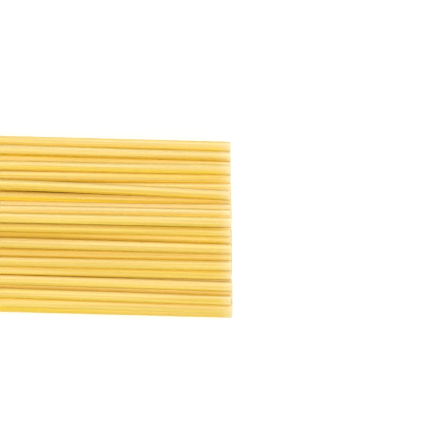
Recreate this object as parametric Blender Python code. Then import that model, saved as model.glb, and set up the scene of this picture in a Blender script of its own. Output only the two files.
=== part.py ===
# Bundle of dry spaghetti lying on a table, in metres, +Z up.
# The strands run along X. The cut ends at +X are the ones that are seen best.
import math
import random

import bmesh
import bpy
import numpy as np

MM = 0.001

# The strands
STRAND_DIAMETER = 1.9 * MM
STRAND_LENGTH = 255 * MM
BUNDLE_WIDTH = 32.8 * MM
RADIUS = STRAND_DIAMETER / 2

# How the heap is stacked: strands hidden in each row from the table up, then the ones on top
HIDDEN_ROWS = (16, 15, 10, 4)
ROW_RISE = 0.9 * STRAND_DIAMETER
HIDDEN_SPACING = 1.02    # from one hidden strand to the next, in strand diameters
HIDDEN_SCATTER = 0.15    # how far one is off its place in the row, in mm
HIDDEN_TURN = 0.12       # how much one slants, in degrees
TOP_BOW = 0.6            # how far the far end of a top strand wanders, in mm
READ_BACK = 40 * MM      # where the second offset of each top strand is read, back from the cut end
STRAIGHTENS = 60 * MM    # a slanting strand turns back into line over this length
SEED = 335

# Top strands from +Y to -Y, read off the photograph by eye, in mm: offset at the cut end, offset
# further back, and how far up it starts, in strand diameters, which decides what crosses over what
TOP_STRANDS = (
    (15.3, 15.4, 0.0),
    (13.6, 13.8, 2.0),
    (12.0, 12.3, 1.0),
    (10.8, 10.8, 2.0),
    (9.4, 9.1, 1.0),
    (6.3, 7.6, 3.0),
    (8.2, 6.2, 1.0),
    (4.9, 5.0, 1.5),
    (3.9, 3.7, 2.5),
    (2.9, 2.6, 3.0),
    (1.5, 1.2, 5.0),
    (-0.5, -0.5, 4.0),
    (-1.8, -1.9, 1.0),
    (-3.5, -3.4, 3.0),
    (-5.1, -5.2, 1.0),
    (-6.6, -7.0, 3.0),
    (-8.2, -8.5, 2.0),
    (-10.7, -9.9, 3.0),
    (-11.7, -11.2, 1.0),
    (-13.1, -12.6, 2.0),
    (-14.7, -14.2, 2.0),
    (-15.8, -15.9, 0.0),
)

# How the strands settle
STATIONS = 16
BEND_ORDER = 4           # a dry strand is stiff: it takes only a long, gentle curve
ROUNDS = 260
FIRST_ROUNDS = 156       # top strands are held more firmly for this long
SWEEPS = 3
FALL = 0.03 * MM         # how far everything sinks each round
PUSH_ASIDE = 0.8         # the part of an overlap that each sweep clears, sideways
PUSH_UP = 0.4            # and upwards
FIRM_HOLD = 0.5
SOFT_HOLD = 0.2
HOLD_REACH = 80 * MM     # the hold on a top strand fades this far back from the cut end
TOP_GIVE = 0.2           # how easily a top strand is pushed sideways, beside 1 for a hidden one
DECIMALS = 7             # places are rounded to this each round, so that every build is the same
NO_DISTANCE = 1e-12      # keeps two strands in one place from dividing by zero

# The cut ends
END_SLANT = 0.037        # strands on the -Y side stand further out at +X
END_SCATTER = 0.12 * MM

# The solid
SIDES = 8
SIDE_TURN = 0.31         # each strand above the table is turned on by this part of a side
NEAR_TABLE = 1.2 * RADIUS     # a strand whose middle comes this low keeps a flat side down
STRAND_STEPS = 6         # lengths of bar that follow a strand's curve
CORE_SHORT = 5 * MM      # the core stops this far inside the cut ends
STUB_ROOT = 2.5 * MM     # a hidden strand's end goes this far into the core
CORE_STEPS = 8           # slices of the core along its length
CORE_POINTS = 24         # points across each slice
GROOVE_POINTS = 9        # places where the heap's surface is felt around each point
CORE_DEPTH = 0.3 * RADIUS     # how far the core stays under the heap's surface
CORE_FLOOR = 0.9 * RADIUS     # how high it starts above the table
CORE_THINNEST = 0.2 * MM
SHARP = math.radians(50)      # edges sharper than this stay hard
FLAT_TO_CENTRE = RADIUS * math.cos(math.pi / SIDES)

ALONG = np.linspace(-0.5, 0.5, STATIONS) * STRAND_LENGTH


def clear_scene():
    for old in list(bpy.data.objects):
        bpy.data.objects.remove(old, do_unlink=True)


def dry_pasta():
    material = bpy.data.materials.new("dry_pasta")
    material.use_nodes = True
    shader = material.node_tree.nodes["Principled BSDF"]
    shader.inputs["Base Color"].default_value = (0.87, 0.61, 0.18, 1)
    shader.inputs["Roughness"].default_value = 0.5
    shader.inputs["Metallic"].default_value = 0
    return material


def start_hidden(draw):
    """Rows of strands side by side, the longest row on the table."""
    offsets, heights = [], []
    for row, count in enumerate(HIDDEN_ROWS):
        for n in range(count):
            middle = (n - (count - 1) / 2) * HIDDEN_SPACING * STRAND_DIAMETER
            turn = math.radians(draw.gauss(0, HIDDEN_TURN))
            aside = draw.uniform(-HIDDEN_SCATTER, HIDDEN_SCATTER) * MM
            offsets.append(middle + aside + turn * ALONG)
            heights.append(np.full(STATIONS, RADIUS + row * ROW_RISE))
    return offsets, heights


def start_top(draw):
    """The strands on top, which slant a little near the cut end."""
    offsets, heights = [], []
    back = STRAND_LENGTH / 2 - ALONG
    for at_end, further_back, level in TOP_STRANDS:
        slope = (further_back - at_end) * MM / READ_BACK
        line = at_end * MM + slope * STRAIGHTENS * (1 - np.exp(-back / STRAIGHTENS))
        bow = draw.gauss(0, TOP_BOW) * MM * (back / STRAND_LENGTH) ** 2
        offsets.append(line + bow)
        rise = len(HIDDEN_ROWS) * ROW_RISE + level * STRAND_DIAMETER
        heights.append(np.full(STATIONS, RADIUS + rise))
    return offsets, heights


def settle():
    """Lets the strands sink and push each other aside. Gives y and z of each at each station."""
    draw = random.Random(SEED)
    y, z = start_hidden(draw)
    hidden = len(y)
    top_y, top_z = start_top(draw)
    y, z = np.array(y + top_y), np.array(z + top_z)
    home = y[hidden:].copy()
    reach = np.exp((ALONG - STRAND_LENGTH / 2) / HOLD_REACH)
    give = np.where(np.arange(len(y)) < hidden, 1.0, TOP_GIVE)
    share = (give[:, None] / (give[:, None] + give[None, :]))[:, :, None]
    itself = np.eye(len(y), dtype=bool)[:, :, None]
    wave = np.polynomial.legendre.legvander(ALONG / (STRAND_LENGTH / 2), BEND_ORDER)
    wave = np.linalg.qr(wave)[0]
    stiff = wave @ wave.T
    edge = BUNDLE_WIDTH / 2 - RADIUS
    on_table = np.arange(len(y)) < HIDDEN_ROWS[0]
    for turn in range(ROUNDS):
        z -= FALL
        for _ in range(SWEEPS):
            apart_y = y[:, None, :] - y[None, :, :]
            apart_z = z[:, None, :] - z[None, :, :]
            apart = np.sqrt(apart_y**2 + apart_z**2) + NO_DISTANCE
            push = np.where(itself, 0, np.clip(STRAND_DIAMETER - apart, 0, None)) / apart
            y += PUSH_ASIDE * (push * apart_y * share).sum(1)
            z += PUSH_UP * (push * apart_z).sum(1)
            y = np.clip(y, -edge, edge)
            z = np.maximum(z, RADIUS)
        hold = FIRM_HOLD if turn < FIRST_ROUNDS else SOFT_HOLD
        y[hidden:] += (home - y[hidden:]) * hold * reach
        y = np.round(y @ stiff, DECIMALS)
        z = np.maximum(np.round(z @ stiff, DECIMALS), RADIUS)
        z[on_table] = RADIUS
    return y - (y.max() + y.min()) / 2, z


def end_slides(y):
    """How far each strand has slid along X in the bundle."""
    draw = random.Random(SEED + 1)
    slides = [-END_SLANT * row[-1] + draw.uniform(-1, 1) * END_SCATTER for row in y]
    middle = (max(slides) + min(slides)) / 2
    return [slide - middle for slide in slides]


def new_mesh_object(name, work, home):
    bmesh.ops.recalc_face_normals(work, faces=work.faces)
    mesh = bpy.data.meshes.new(name)
    work.to_mesh(mesh)
    work.free()
    piece = bpy.data.objects.new(name, mesh)
    home.objects.link(piece)
    return piece


def strand_piece(name, places, y, z, turn, home):
    """One faceted strand through these places along X, turned by this part of a side."""
    work = bmesh.new()
    rings = []
    for x in places:
        middle = (np.interp(x, ALONG, y), np.interp(x, ALONG, z))
        ring = []
        for side in range(SIDES):
            angle = (side + 0.5 + turn) * 2 * math.pi / SIDES
            at = (middle[0] + RADIUS * math.cos(angle), middle[1] + RADIUS * math.sin(angle))
            ring.append(work.verts.new((x, at[0], at[1])))
        rings.append(ring)
    for one, two in zip(rings, rings[1:]):
        for n in range(SIDES):
            after = (n + 1) % SIDES
            work.faces.new((one[n], one[after], two[after], two[n]))
    work.faces.new(rings[0])
    work.faces.new(rings[-1])
    return new_mesh_object(name, work, home)


def surface_height(across, y, z):
    """Height of the heap's surface at one place across it."""
    inside = np.clip(RADIUS**2 - (across - y) ** 2, 0, None)
    return np.where(inside > 0, z + np.sqrt(inside), 0).max()


def core_top(y, z):
    """The core's upper edge at one station, down in the grooves between the outer strands."""
    left, right = y.min(), y.max()
    reach = np.linspace(-RADIUS, RADIUS, GROOVE_POINTS)
    across = np.linspace(left, right, CORE_POINTS)
    height = []
    for place in across:
        near = [surface_height(a, y, z) for a in np.clip(place + reach, left, right)]
        height.append(max(min(near) - CORE_DEPTH, CORE_FLOOR + CORE_THINNEST))
    return across, np.array(height)


def core_piece(y, z, home):
    """The inside of the heap, a flat-bottomed body a little shorter than the strands."""
    half = STRAND_LENGTH / 2 - CORE_SHORT
    work = bmesh.new()
    slices = []
    for x in np.linspace(-half, half, CORE_STEPS + 1):
        here_y = np.array([np.interp(x, ALONG, row) for row in y])
        here_z = np.array([np.interp(x, ALONG, row) for row in z])
        across, height = core_top(here_y, here_z)
        top = [work.verts.new((x, a, h)) for a, h in zip(across, height)]
        low = [work.verts.new((x, a, CORE_FLOOR)) for a in across]
        slices.append((top, low))
    for (top, low), (next_top, next_low) in zip(slices, slices[1:]):
        for n in range(CORE_POINTS - 1):
            work.faces.new((top[n], top[n + 1], next_top[n + 1], next_top[n]))
            work.faces.new((low[n], low[n + 1], next_low[n + 1], next_low[n]))
        for n in (0, -1):
            work.faces.new((top[n], low[n], next_low[n], next_top[n]))
    for top, low in (slices[0], slices[-1]):
        for n in range(CORE_POINTS - 1):
            work.faces.new((top[n], top[n + 1], low[n + 1], low[n]))
    return new_mesh_object("core", work, home)


def shows(y, z, all_y, all_z):
    """Whether a strand is part of the heap's surface anywhere along it."""
    if z.min() < NEAR_TABLE:
        return True
    for n in range(STATIONS):
        across, height = core_top(all_y[:, n], all_z[:, n])
        if z[n] + RADIUS > np.interp(y[n], across, height):
            return True
    return False


def all_pieces(y, z, home):
    """Whole strands where they show, and only the two ends of the ones inside the core."""
    core = core_piece(y, z, home)
    half = STRAND_LENGTH / 2
    root = half - CORE_SHORT - STUB_ROOT
    for n, slide in enumerate(end_slides(y)):
        if shows(y[n], z[n], y, z):
            spans = [np.linspace(-half, half, STRAND_STEPS + 1) + slide]
        else:
            spans = [np.array((-half + slide, -root)), np.array((root, half + slide))]
        turn = 0 if z[n].min() < NEAR_TABLE else (n * SIDE_TURN) % 1
        for k, places in enumerate(spans):
            strand_piece(f"strand_{n}_{k}", places, y[n], z[n], turn, home)
    return core


def keep_largest_shell(mesh):
    """Drops sealed hollows and loose scraps."""
    work = bmesh.new()
    work.from_mesh(mesh)
    left, shells = set(work.faces), []
    while left:
        queue, shell = [left.pop()], []
        while queue:
            face = queue.pop()
            shell.append(face)
            for edge in face.edges:
                for other in edge.link_faces:
                    if other in left:
                        left.remove(other)
                        queue.append(other)
        shells.append(shell)
    shells.sort(key=len)
    print("shells of", [len(shell) for shell in shells[-4:]], "faces, of", len(shells))
    for shell in shells[:-1]:
        bmesh.ops.delete(work, geom=shell, context="FACES")
    work.to_mesh(mesh)
    work.free()


def fuse(core, pieces):
    """One union of the core with every strand."""
    join = core.modifiers.new("join", "BOOLEAN")
    join.operation = "UNION"
    join.operand_type = "COLLECTION"
    join.collection = pieces
    join.solver = "MANIFOLD"
    bpy.context.view_layer.objects.active = core
    bpy.ops.object.modifier_apply(modifier=join.name)
    for piece in list(pieces.objects):
        bpy.data.objects.remove(piece, do_unlink=True)
    bpy.data.collections.remove(pieces)


def build():
    clear_scene()
    y, z = settle()
    pieces = bpy.data.collections.new("strand_pieces")
    bpy.context.scene.collection.children.link(pieces)
    bundle = all_pieces(y, z, pieces)
    bpy.context.scene.collection.objects.link(bundle)
    pieces.objects.unlink(bundle)
    fuse(bundle, pieces)
    bundle.name = bundle.data.name = "spaghetti_bundle"
    keep_largest_shell(bundle.data)
    for vertex in bundle.data.vertices:
        vertex.co.z -= RADIUS - FLAT_TO_CENTRE
    bundle.data.shade_smooth()
    bundle.data.set_sharp_from_angle(angle=SHARP)
    bundle.data.materials.clear()
    bundle.data.materials.append(dry_pasta())
    size = [round(v / MM, 2) for v in bundle.dimensions]
    print("strands", len(y), "faces", len(bundle.data.polygons), "size in mm", size)


build()
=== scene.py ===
import math
import random

import bmesh
import bpy
import numpy as np
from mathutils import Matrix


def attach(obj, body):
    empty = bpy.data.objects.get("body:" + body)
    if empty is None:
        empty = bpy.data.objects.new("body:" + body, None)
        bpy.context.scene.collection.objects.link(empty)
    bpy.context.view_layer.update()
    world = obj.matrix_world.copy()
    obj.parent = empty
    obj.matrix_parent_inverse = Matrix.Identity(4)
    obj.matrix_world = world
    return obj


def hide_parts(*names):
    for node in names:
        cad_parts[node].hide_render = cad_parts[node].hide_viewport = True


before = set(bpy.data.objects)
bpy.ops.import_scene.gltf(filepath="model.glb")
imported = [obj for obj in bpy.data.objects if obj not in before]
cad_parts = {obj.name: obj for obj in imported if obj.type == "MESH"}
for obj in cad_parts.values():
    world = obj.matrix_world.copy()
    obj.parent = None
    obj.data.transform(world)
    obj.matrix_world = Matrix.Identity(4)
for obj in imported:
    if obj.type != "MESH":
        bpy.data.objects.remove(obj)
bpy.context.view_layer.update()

mm = 0.001

# How the strands lie in the heap
heap = {
    "strandDiameter": 1.9 * mm,
    "strandLength": 255 * mm,
    "bundleWidth": 32.8 * mm,
    "hiddenRows": (16, 15, 10, 4),  # strands inside the heap, from the table up
    "rowRise": 0.9,  # in strand diameters
    "hiddenSpacing": 1.02,  # from one hidden strand to the next, in strand diameters
    "hiddenScatter": 0.15,  # how far one is off its place in the row, in mm
    "hiddenTurn": 0.12,  # how much one slants, in degrees
    "topBow": 0.6,  # how far the far end of a top strand wanders, in mm
    "seed": 335,
    "readBack": 40 * mm,  # where the second offset of a top strand is read
    "straightens": 60 * mm,  # a slanting strand turns back into line over this length
    "stations": 16,
    "bendOrder": 4,  # a dry strand takes only a long, gentle curve
    "rounds": 260,
    "firstRounds": 156,  # the top strands are held more firmly for this long
    "sweeps": 3,
    "fall": 0.03 * mm,  # how far everything sinks each round
    "pushAside": 0.8,  # the part of an overlap that each sweep clears, sideways
    "pushUp": 0.4,  # and upwards
    "firmHold": 0.5,
    "softHold": 0.2,
    "holdReach": 80 * mm,  # the hold on a top strand fades this far back from the cut end
    "topGive": 0.2,  # how easily a top strand is pushed sideways, beside 1 for a hidden one
    "endSlant": 0.037,  # strands on the -Y side stand further out at +X
    "endScatter": 0.12 * mm,
    "decimals": 7,  # places are rounded to this each round, so that every run is the same
    "noDistance": 1e-12,  # keeps two strands in one place from dividing by zero
}

# Top strands from +Y to -Y, read off the photograph, in mm: offset at the cut end,
# offset further back, and how high each starts, in strand diameters, which says what crosses what
topStrands = (
    (15.3, 15.4, 0.0),
    (13.6, 13.8, 2.0),
    (12.0, 12.3, 1.0),
    (10.8, 10.8, 2.0),
    (9.4, 9.1, 1.0),
    (6.3, 7.6, 3.0),
    (8.2, 6.2, 1.0),
    (4.9, 5.0, 1.5),
    (3.9, 3.7, 2.5),
    (2.9, 2.6, 3.0),
    (1.5, 1.2, 5.0),
    (-0.5, -0.5, 4.0),
    (-1.8, -1.9, 1.0),
    (-3.5, -3.4, 3.0),
    (-5.1, -5.2, 1.0),
    (-6.6, -7.0, 3.0),
    (-8.2, -8.5, 2.0),
    (-10.7, -9.9, 3.0),
    (-11.7, -11.2, 1.0),
    (-13.1, -12.6, 2.0),
    (-14.7, -14.2, 2.0),
    (-15.8, -15.9, 0.0),
)


def startHidden(draw, along):
    diameter, scatter = heap["strandDiameter"], heap["hiddenScatter"]
    offsets, heights = [], []
    for row, count in enumerate(heap["hiddenRows"]):
        for n in range(count):
            middle = (n - (count - 1) / 2) * heap["hiddenSpacing"] * diameter
            turn = math.radians(draw.gauss(0, heap["hiddenTurn"]))
            offsets.append(middle + draw.uniform(-scatter, scatter) * mm + turn * along)
            rise = row * heap["rowRise"] * diameter
            heights.append(np.full(len(along), diameter / 2 + rise))
    return offsets, heights


def startTop(draw, along):
    diameter, straightens = heap["strandDiameter"], heap["straightens"]
    offsets, heights = [], []
    back = heap["strandLength"] / 2 - along
    for atEnd, furtherBack, level in topStrands:
        slope = (furtherBack - atEnd) * mm / heap["readBack"]
        line = atEnd * mm + slope * straightens * (1 - np.exp(-back / straightens))
        bow = draw.gauss(0, heap["topBow"]) * mm * (back / heap["strandLength"]) ** 2
        offsets.append(line + bow)
        rise = (len(heap["hiddenRows"]) * heap["rowRise"] + level) * diameter
        heights.append(np.full(len(along), diameter / 2 + rise))
    return offsets, heights


def settleHeap(along):  # the strands sink, and push each other aside where they touch
    draw = random.Random(heap["seed"])
    diameter = heap["strandDiameter"]
    radius = diameter / 2
    y, z = startHidden(draw, along)
    hidden = len(y)
    topY, topZ = startTop(draw, along)
    y, z = np.array(y + topY), np.array(z + topZ)
    home = y[hidden:].copy()
    reach = np.exp(-(heap["strandLength"] / 2 - along) / heap["holdReach"])
    give = np.where(np.arange(len(y)) < hidden, 1.0, heap["topGive"])
    share = (give[:, None] / (give[:, None] + give[None, :]))[:, :, None]
    itself = np.eye(len(y), dtype=bool)[:, :, None]
    curves = np.polynomial.legendre.legvander(along / along[-1], heap["bendOrder"])
    curves = np.linalg.qr(curves)[0]
    stiff = curves @ curves.T
    edge = heap["bundleWidth"] / 2 - radius
    for turn in range(heap["rounds"]):
        z -= heap["fall"]
        for _ in range(heap["sweeps"]):
            apartY = y[:, None, :] - y[None, :, :]
            apartZ = z[:, None, :] - z[None, :, :]
            apart = np.sqrt(apartY**2 + apartZ**2) + heap["noDistance"]
            push = np.where(itself, 0, np.clip(diameter - apart, 0, None)) / apart
            y += heap["pushAside"] * (push * apartY * share).sum(1)
            z += heap["pushUp"] * (push * apartZ).sum(1)
            y = np.clip(y, -edge, edge)
            z = np.maximum(z, radius)
        hold = heap["firmHold"] if turn < heap["firstRounds"] else heap["softHold"]
        y[hidden:] += (home - y[hidden:]) * hold * reach
        y = np.round(y @ stiff, heap["decimals"])
        z = np.maximum(np.round(z @ stiff, heap["decimals"]), radius)
        z[: heap["hiddenRows"][0]] = radius
    return y - (y.max() + y.min()) / 2, z


def endSlides(y):  # how far each strand has slid along X
    draw = random.Random(heap["seed"] + 1)
    scatter = heap["endScatter"]
    slides = [-heap["endSlant"] * row[-1] + draw.uniform(-1, 1) * scatter for row in y]
    middle = (max(slides) + min(slides)) / 2
    return [slide - middle for slide in slides]


# One strand, modelled once and copied
strand = {
    "sides": 16,
    "cuts": 42,  # rings along it
    "nearEnd": (0.4 * mm, 1.0 * mm, 2.2 * mm),  # rings close to the cut ends
    "rim": 0.07 * mm,
    "rimSteps": 2,
    "atEnd": 0.01 * mm,  # a point this close to the end is on it
    "endFace": 0.9,  # how squarely a cut face looks along the strand
    "endInset": 0.3 * mm,
    "endDish": (0.01 * mm, 0.03 * mm),  # how deep each step of the cut face goes
    "middleInsets": 1.5,  # the crumbly middle starts this many insets from the rim
    "slimness": 0.985,  # keeps neighbours from cutting into each other
    "thickness": 0.02,  # one strand beside the next
    "unevenness": 0.008,  # along a strand
    "waves": (90, 200),  # how fast the unevenness comes and goes
    "anyPhase": (0, 6.28),  # where a wave starts, in radians
    "endTilt": 0.07,
    "endChip": 0.03 * mm,
    "endReach": 0.5 * mm,  # how far back tilts and chips go
    "paleReach": 1.2 * mm,  # how far the pale look of a cut end goes: the chalky cut, and past it painted light shining in through the end
    "paintedLitSide": (0, 0.6, 0.8),  # painted light: the side painted paler as if lit, up and towards +Y; the other side gets painted shade
    "noiseStep": 7 * mm,  # gives each strand its own part of the noise
    "smoothBelow": 50,  # degrees between faces
    "seed": 21,
}


def deselectAll():
    if bpy.context.object and bpy.context.object.mode != "OBJECT":
        bpy.ops.object.mode_set(mode="OBJECT")
    bpy.ops.object.select_all(action="DESELECT")


def selectWhere(piece, kind, wanted):
    work = bmesh.from_edit_mesh(piece.data)
    for item in (*work.verts, *work.edges, *work.faces):
        item.select = False
    for item in work.faces if kind == "FACE" else work.edges:
        if wanted(item):
            item.select_set(True)
    bmesh.update_edit_mesh(piece.data)


def runsAlong(edge):
    return abs(edge.verts[0].co.x - edge.verts[1].co.x) > heap["strandLength"] / 2


def isOnRim(edge):
    return all(abs(v.co.x) > heap["strandLength"] / 2 - strand["atEnd"] for v in edge.verts)


def isCutFace(face):
    return abs(face.normal.x) > strand["endFace"] and len(face.verts) > 4


def modelStrand():  # a straight strand along X, with its cut ends finished
    half = heap["strandLength"] / 2
    deselectAll()
    bpy.ops.mesh.primitive_cylinder_add(
        vertices=strand["sides"],
        radius=heap["strandDiameter"] / 2 * strand["slimness"],
        depth=heap["strandLength"],
        rotation=(0, math.radians(90), 0),
        calc_uvs=False,
    )
    piece = bpy.context.object
    piece.name = "strandModel"
    bpy.ops.object.transform_apply(location=False, rotation=True, scale=False)
    bpy.ops.object.mode_set(mode="EDIT")
    bpy.ops.mesh.select_mode(type="EDGE")
    selectWhere(piece, "EDGE", runsAlong)
    bpy.ops.mesh.subdivide(number_cuts=strand["cuts"])
    for fromEnd in strand["nearEnd"]:
        for side in (-1, 1):
            bpy.ops.mesh.select_all(action="SELECT")
            bpy.ops.mesh.bisect(plane_co=(side * (half - fromEnd), 0, 0), plane_no=(1, 0, 0))
    selectWhere(piece, "EDGE", isOnRim)
    bpy.ops.mesh.bevel(offset=strand["rim"], segments=strand["rimSteps"])
    bpy.ops.mesh.select_mode(type="FACE")
    for depth in strand["endDish"]:
        selectWhere(piece, "FACE", isCutFace)
        bpy.ops.mesh.inset(thickness=strand["endInset"], depth=-depth)
    bpy.ops.mesh.poke()
    deselectAll()
    print("one strand modelled,", len(piece.data.polygons), "faces")
    return piece


def readPoints(mesh):
    points = np.empty(len(mesh.vertices) * 3, np.float32)
    mesh.vertices.foreach_get("co", points)
    return points.reshape(-1, 3).astype(float)


# How the strands' surfaces share one square picture, in parts of its side
flatMap = {
    "capWidth": 0.014,  # each cut end
    "capFill": 0.46,
    "capGap": 1.1,  # where the length starts, in cap widths
    "capFace": 0.5,  # how squarely a face that belongs to a cut end looks along the strand
    "aroundFill": 0.94,
    "stripFill": 0.96,  # of each strand's strip
    "stripGap": 0.02,
}


def strandMap(mesh):  # its surface laid out flat: the length across, the way round up
    half = heap["strandLength"] / 2
    radius = heap["strandDiameter"] / 2
    points = readPoints(mesh)
    layout = np.zeros((len(mesh.loops), 2))
    capWidth, capFill, gap = flatMap["capWidth"], flatMap["capFill"], flatMap["capGap"]
    for face in mesh.polygons:
        corners = points[list(face.vertices)]
        if abs(face.normal.x) > flatMap["capFace"]:
            across = 0.5 + capFill * corners[:, 1] / radius
            place = np.stack([across * capWidth, 0.5 + capFill * corners[:, 2] / radius], 1)
            if face.center.x > 0:
                place[:, 0] = 1 - place[:, 0]
        else:
            around = np.arctan2(corners[:, 2], corners[:, 1]) / (2 * math.pi) + 0.5
            if np.ptp(around) > 0.5:
                around = np.where(around < 0.5, around + 1, around)
            along = (corners[:, 0] / half + 1) / 2
            across = capWidth * gap + along * (1 - 2 * gap * capWidth)
            place = np.stack([across, around * flatMap["aroundFill"]], 1)
        layout[face.loop_start : face.loop_start + face.loop_total] = place
    return layout


def layStrands(model):
    along = np.linspace(-0.5, 0.5, heap["stations"]) * heap["strandLength"]
    y, z = settleHeap(along)
    half = heap["strandLength"] / 2
    draw = random.Random(strand["seed"])
    straight = readPoints(model.data)
    layout = strandMap(model.data)
    fromEnd = half - np.abs(straight[:, 0])
    radius = heap["strandDiameter"] / 2
    middleReach = radius - strand["middleInsets"] * strand["endInset"]
    laid = []
    for n, slide in enumerate(endSlides(y)):
        piece = model.copy()
        piece.data = model.data.copy()
        bpy.context.collection.objects.link(piece)
        points = straight.copy()
        thick = 1 + draw.uniform(-1, 1) * strand["thickness"]
        wave = draw.uniform(*strand["anyPhase"]), draw.uniform(*strand["waves"])
        thick += strand["unevenness"] * np.sin(wave[0] + wave[1] * points[:, 0])
        points[:, 1:] *= thick[:, None]
        for side in (-1, 1):
            tilt = [draw.uniform(-1, 1) * strand["endTilt"] for _ in range(2)]
            chip = draw.uniform(*strand["anyPhase"]), draw.uniform(0, strand["endChip"])
            around = np.arctan2(points[:, 2], points[:, 1])
            near = np.clip(1 - fromEnd / strand["endReach"], 0, 1)
            atEnd = np.where(points[:, 0] * side > 0, near, 0)
            points[:, 0] += atEnd * (points[:, 1] * tilt[0] + points[:, 2] * tilt[1])
            points[:, 0] -= side * atEnd * chip[1] * (1 + np.cos(2 * around + chip[0]))
        points[:, 1] += np.interp(points[:, 0], along, y[n])
        points[:, 2] += np.interp(points[:, 0], along, z[n])
        points[:, 0] += slide
        piece.data.vertices.foreach_set("co", points.astype(np.float32).ravel())
        addAttribute(piece.data, "tone", np.full(len(points), draw.gauss(0, 1)))
        addAttribute(piece.data, "nearEnd", np.exp(-fromEnd / strand["paleReach"]))
        addAttribute(piece.data, "onStrand", straight + n * strand["noiseStep"])
        # painted light: how far each point of a strand faces up and towards +Y, where the lights
        # are
        addAttribute(piece.data, "paintedLitSide", (straight @ strand["paintedLitSide"]) / radius)
        addAttribute(piece.data, "middle", np.hypot(straight[:, 1], straight[:, 2]) < middleReach)
        flat = piece.data.uv_layers.new(name="OFBake")
        low = (n + flatMap["stripGap"]) / len(y)
        strip = layout * (1, flatMap["stripFill"] / len(y)) + (0, low)
        flat.data.foreach_set("uv", strip.astype(np.float32).ravel())
        laid.append(piece)
    bpy.data.objects.remove(model, do_unlink=True)
    return joinStrands(laid)


def addAttribute(mesh, name, values):  # one number a point, or a place
    places = values.ndim > 1
    attribute = mesh.attributes.new(name, "FLOAT_VECTOR" if places else "FLOAT", "POINT")
    attribute.data.foreach_set("vector" if places else "value", values.astype(np.float32).ravel())


def joinStrands(laid):
    deselectAll()
    for piece in laid:
        piece.select_set(True)
    bpy.context.view_layer.objects.active = laid[0]
    bpy.ops.object.join()
    whole = bpy.context.object
    whole.name = whole.data.name = "spaghetti_strands"
    bpy.ops.object.shade_smooth_by_angle(angle=math.radians(strand["smoothBelow"]))
    print(len(laid), "strands laid,", len(whole.data.polygons), "faces")
    return whole


# The finish of dry pasta
pasta = {
    "deep": (0.92, 0.65, 0.003, 1),
    "body": (0.955, 0.69, 0.014, 1),
    "pale": (0.985, 0.72, 0.21, 1),
    "line": (0.86, 0.8, 0.55, 1),
    "cutEnd": (0.97, 0.8, 0.42, 1),
    "cutMiddle": (0.95, 0.68, 0.2, 1),
    "fleck": (0.97, 0.82, 0.45, 1),
    "grains": {  # how far noise is drawn out along a strand, its size and its detail
        "cloud": (12, 3.0 * mm, 2),  # soft, slow changes
        "bands": (60, 1.1 * mm, 1),  # broad lines
        "dieLines": (80, 0.5 * mm, 2),  # fine lines left by the die
        "scratches": (120, 0.3 * mm, 1),
        "semolina": (1.6, 0.22 * mm, 4),  # the grain of the flour
        "flecks": (1.3, 0.4 * mm, 1),
    },
    # A cover is a low and a high value of the noise or attribute that it follows, and how much
    # of its colour shows at each. The coats lie on each other in this order
    "cloudCover": (0.35, 0.65, 0, 1),
    "coats": (
        ("tone", (-2, 2, 0.1, 0.5), "pale", "MIX"),
        ("bands", (0.42, 0.6, 0, 0.9), "pale", "MIX"),
        ("dieLines", (0.42, 0.6, 0, 0.9), "pale", "MIX"),
        # painted light and shade: on each strand's side away from the lights the colour goes back
        # to the deeper body yellow, so the lit side stays paler
        ("paintedLitSide", (-0.2, 0.7, 0.8, 0), "body", "MIX"),
        ("scratches", (0.4, 0.6, 0.8, 0), "line", "MULTIPLY"),
        ("flecks", (0.66, 0.78, 0, 0.4), "fleck", "MIX"),
        # partly painted light: the cut ends are chalky and pale, and the paling runs back along
        # the strand as painted light shining in through the end
        ("nearEnd", (0.1, 0.9, 0, 1), "cutEnd", "MIX"),
    ),
    "crumbCover": (0.35, 0.65, 0.2, 0.9),
    "middleCover": (0, 1, 0, 0.6),
    "roughness": (0.3, 0.7, 0.52, 0.68),
    "translucency": 0.15,
    "lightReach": 0.3 * mm,
    "reachRGB": (1.0, 0.8, 0.5),
    "refraction": 1.6,
    "sheen": 0.7,
    "lineBump": (1.0, 0.12 * mm),  # strength and depth
    "gritBump": (0.5, 0.02 * mm),
}


def addNode(tree, kind, **settings):
    node = tree.nodes.new(kind)
    for name, value in settings.items():
        setattr(node, name, value)
    return node


def mixColours(tree, factor, one, two, blend="MIX"):
    mix = addNode(tree, "ShaderNodeMix", data_type="RGBA", blend_type=blend)
    for socket, value in ((0, factor), (6, one), (7, two)):  # its sockets for colours
        if isinstance(value, bpy.types.NodeSocket):
            tree.links.new(value, mix.inputs[socket])
        else:
            mix.inputs[socket].default_value = value
    return mix.outputs[2]


def scaleTo(tree, value, fromLow, fromHigh, low, high):
    node = addNode(tree, "ShaderNodeMapRange")
    for socket, number in zip(node.inputs[1:5], (fromLow, fromHigh, low, high)):
        socket.default_value = number
    tree.links.new(value, node.inputs[0])
    return node.outputs[0]


def grain(tree, place, stretch, size, detail):  # noise drawn out along the strand
    mapping = addNode(tree, "ShaderNodeMapping")
    mapping.inputs["Scale"].default_value = (1 / stretch, 1, 1)
    tree.links.new(place, mapping.inputs["Vector"])
    noise = addNode(tree, "ShaderNodeTexNoise")
    noise.inputs["Scale"].default_value = 1 / size
    noise.inputs["Detail"].default_value = detail
    tree.links.new(mapping.outputs[0], noise.inputs["Vector"])
    return noise.outputs[0]


def addBump(tree, height, strength, depth):
    bump = addNode(tree, "ShaderNodeBump")
    bump.inputs["Strength"].default_value = strength
    bump.inputs["Distance"].default_value = depth
    tree.links.new(height, bump.inputs["Height"])
    return bump


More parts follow.
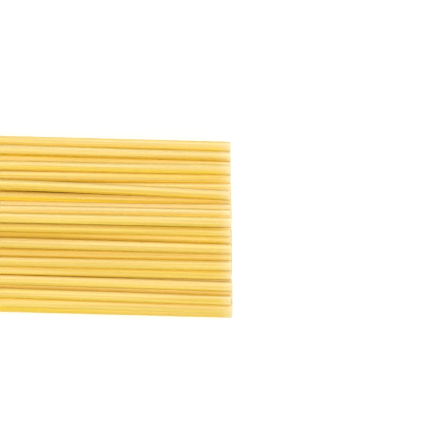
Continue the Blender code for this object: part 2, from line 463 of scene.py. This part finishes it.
def dryPasta():
    material = bpy.data.materials.new("dryPasta")
    material.use_nodes = True
    tree = material.node_tree
    shader = tree.nodes["Principled BSDF"]
    place = addNode(tree, "ShaderNodeAttribute", attribute_name="onStrand").outputs["Vector"]
    looks = {}
    for name in ("tone", "nearEnd", "middle", "paintedLitSide"):
        looks[name] = addNode(tree, "ShaderNodeAttribute", attribute_name=name).outputs["Fac"]
    for name, (stretch, size, detail) in pasta["grains"].items():
        looks[name] = grain(tree, place, stretch, size, detail)

    clouds = scaleTo(tree, looks["cloud"], *pasta["cloudCover"])
    shade = mixColours(tree, clouds, pasta["deep"], pasta["body"])
    for look, cover, colour, blend in pasta["coats"]:
        shade = mixColours(tree, scaleTo(tree, looks[look], *cover), shade, pasta[colour], blend)
    crumbs = scaleTo(tree, looks["semolina"], *pasta["crumbCover"])
    crumb = mixColours(tree, crumbs, shade, pasta["cutMiddle"])
    shade = mixColours(tree, scaleTo(tree, looks["middle"], *pasta["middleCover"]), shade, crumb)
    tree.links.new(shade, shader.inputs["Base Color"])

    rough = scaleTo(tree, looks["semolina"], *pasta["roughness"])
    tree.links.new(rough, shader.inputs["Roughness"])
    shader.inputs["Subsurface Weight"].default_value = pasta["translucency"]
    shader.inputs["Subsurface Radius"].default_value = pasta["reachRGB"]
    shader.inputs["Subsurface Scale"].default_value = pasta["lightReach"]
    shader.inputs["IOR"].default_value = pasta["refraction"]
    shader.inputs["Specular IOR Level"].default_value = pasta["sheen"]

    lines = addBump(tree, looks["dieLines"], *pasta["lineBump"])
    grit = addBump(tree, looks["semolina"], *pasta["gritBump"])
    tree.links.new(lines.outputs[0], grit.inputs["Normal"])
    tree.links.new(grit.outputs[0], shader.inputs["Normal"])
    return material


# Floor, light and camera
studio = {
    "floorSize": 3.0,
    "floorColour": (0.93, 0.93, 0.93, 1),
    "floorRoughness": 0.8,
    "floorGlow": 0.2,  # a light table, which leaves hardly any shadow
    "frameWidth": 77.7 * mm,  # what the photograph takes in, at the top of the heap
    "heapTop": 7 * mm,
    "lens": 170,
    "sensor": 36,
    "clip": (0.01, 10),
    "roll": 1.45,  # degrees
    "aimFromEnd": 3.9 * mm,
    "aimAcross": 3.5 * mm,
    "lights": {  # place, size and power
        "key": ((0.4, 0.75, 0.95), 1.2, 2.1),
        "glint": ((0.12, 0.93, 0.72), 0.9, 19),
        "fill": ((0.4, -0.95, 0.7), 1.2, 4.0),
        "overhead": ((0.12, 0.05, 1.2), 0.4, 7.8),
    },
    "onlyHighlights": "glint",  # this light is seen in the sheen and nowhere else
    "noHighlights": "overhead",  # this one gives no sheen
    "skyColour": (1, 1, 1, 1),
    "skyStrength": 0.3,
}


def layFloor():
    deselectAll()
    bpy.ops.mesh.primitive_plane_add(size=studio["floorSize"])
    floor = bpy.context.object
    floor.name = "floor"
    material = bpy.data.materials.new("paleFloor")
    material.use_nodes = True
    shader = material.node_tree.nodes["Principled BSDF"]
    shader.inputs["Base Color"].default_value = studio["floorColour"]
    shader.inputs["Roughness"].default_value = studio["floorRoughness"]
    shader.inputs["Emission Color"].default_value = studio["floorColour"]
    shader.inputs["Emission Strength"].default_value = studio["floorGlow"]
    floor.data.materials.append(material)


def addSoftLight(name, place, size, power, aim):
    light = bpy.data.lights.new(name, "AREA")
    light.size, light.energy = size, power
    lamp = bpy.data.objects.new(name, light)
    bpy.context.collection.objects.link(lamp)
    lamp.location = place
    direction = np.array(aim) - np.array(place)
    lamp.rotation_euler = (
        math.atan2(math.hypot(direction[0], direction[1]), -direction[2]),
        0,
        math.atan2(direction[1], direction[0]) - math.pi / 2,
    )
    return lamp


def lightStudio(aim):
    for name, (place, size, power) in studio["lights"].items():
        lamp = addSoftLight(name, place, size, power, aim)
        lamp.visible_diffuse = name != studio["onlyHighlights"]
        lamp.visible_glossy = name != studio["noHighlights"]
    sky = bpy.data.worlds.new("studio")
    sky.use_nodes = True
    glow = sky.node_tree.nodes["Background"]
    glow.inputs["Color"].default_value = studio["skyColour"]
    glow.inputs["Strength"].default_value = studio["skyStrength"]
    bpy.context.scene.world = sky
    bpy.context.scene.view_settings.view_transform = "Standard"


def placeCamera():  # straight down on the cut end, as in the photograph
    lens = bpy.data.cameras.new("camera")
    lens.lens, lens.sensor_width = studio["lens"], studio["sensor"]
    lens.clip_start, lens.clip_end = studio["clip"]
    camera = bpy.data.objects.new("camera", lens)
    bpy.context.collection.objects.link(camera)
    aim = (heap["strandLength"] / 2 - studio["aimFromEnd"], studio["aimAcross"])
    distance = studio["frameWidth"] * studio["lens"] / studio["sensor"]
    camera.location = (*aim, studio["heapTop"] + distance)
    camera.rotation_euler = (0, 0, math.radians(studio["roll"]))
    bpy.context.scene.camera = camera
    return aim


strands = layStrands(modelStrand())
strands.data.materials.clear()
strands.data.materials.append(dryPasta())
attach(strands, "root")
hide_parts("spaghetti_bundle")
print("pasta finished")

layFloor()
aim = placeCamera()
lightStudio((*aim, 0))
print("floor, camera and lights placed")
